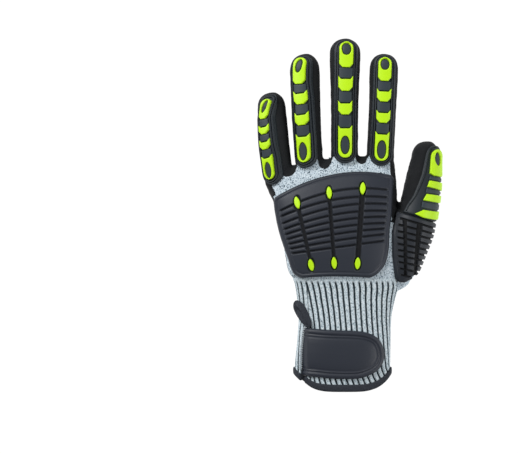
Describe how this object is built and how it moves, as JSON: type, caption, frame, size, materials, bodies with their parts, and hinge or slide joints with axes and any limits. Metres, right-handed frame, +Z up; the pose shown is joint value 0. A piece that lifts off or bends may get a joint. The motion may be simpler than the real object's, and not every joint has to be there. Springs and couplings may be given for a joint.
{
  "type": "impact resistant coated glove",
  "caption": "Knitted work glove for the left hand with a dipped rubber palm, moulded impact guards on the back of the hand and fingers, a rib cuff and a wrist strap.",
  "frame": {"origin": "under the middle of the glove's overall box, on the surface it lies on", "axes": "+Y towards the fingertips along the glove's length, +Z up out of the back of the hand, +X to the side the thumb is on"},
  "size_m": [0.1492, 0.2818, 0.0371],
  "materials": {
    "knit": "knitted yarn, matte",
    "nitrile": "sandy foam coating, matte",
    "black_rubber": "moulded, satin",
    "lime_rubber": "moulded, satin",
    "tape": "woven tape, matte"
  },
  "bodies": {
    "root": {"closing_strap": "black_rubber", "hand_guard": "black_rubber", "hand_lozenge_1": "lime_rubber", "hand_lozenge_2": "lime_rubber", "hand_lozenge_3": "lime_rubber", "hand_lozenge_4": "lime_rubber", "hand_lozenge_5": "lime_rubber", "hand_lozenge_6": "lime_rubber", "hem_binding": "tape", "index_guard": "black_rubber", "index_knuckle_pad": "lime_rubber", "index_lower_pad": "lime_rubber", "index_tip_pad": "lime_rubber", "index_upper_pad": "lime_rubber", "knit_liner": "knit", "little_guard": "black_rubber", "little_knuckle_pad": "lime_rubber", "little_lower_pad": "lime_rubber", "little_tip_pad": "lime_rubber", "little_upper_pad": "lime_rubber", "middle_guard": "black_rubber", "middle_knuckle_pad": "lime_rubber", "middle_lower_pad": "lime_rubber", "middle_tip_pad": "lime_rubber", "middle_upper_pad": "lime_rubber", "palm_coating": "nitrile", "ring_guard": "black_rubber", "ring_knuckle_pad": "lime_rubber", "ring_lower_pad": "lime_rubber", "ring_tip_pad": "lime_rubber", "ring_upper_pad": "lime_rubber", "slit_tape_loop": "tape", "thumb_guard": "black_rubber", "thumb_lower_bar": "lime_rubber", "thumb_root_guard": "black_rubber", "thumb_tip_pad": "lime_rubber", "thumb_upper_bar": "lime_rubber", "thumb_wedge_bar": "lime_rubber"}
  },
  "joints": []
}
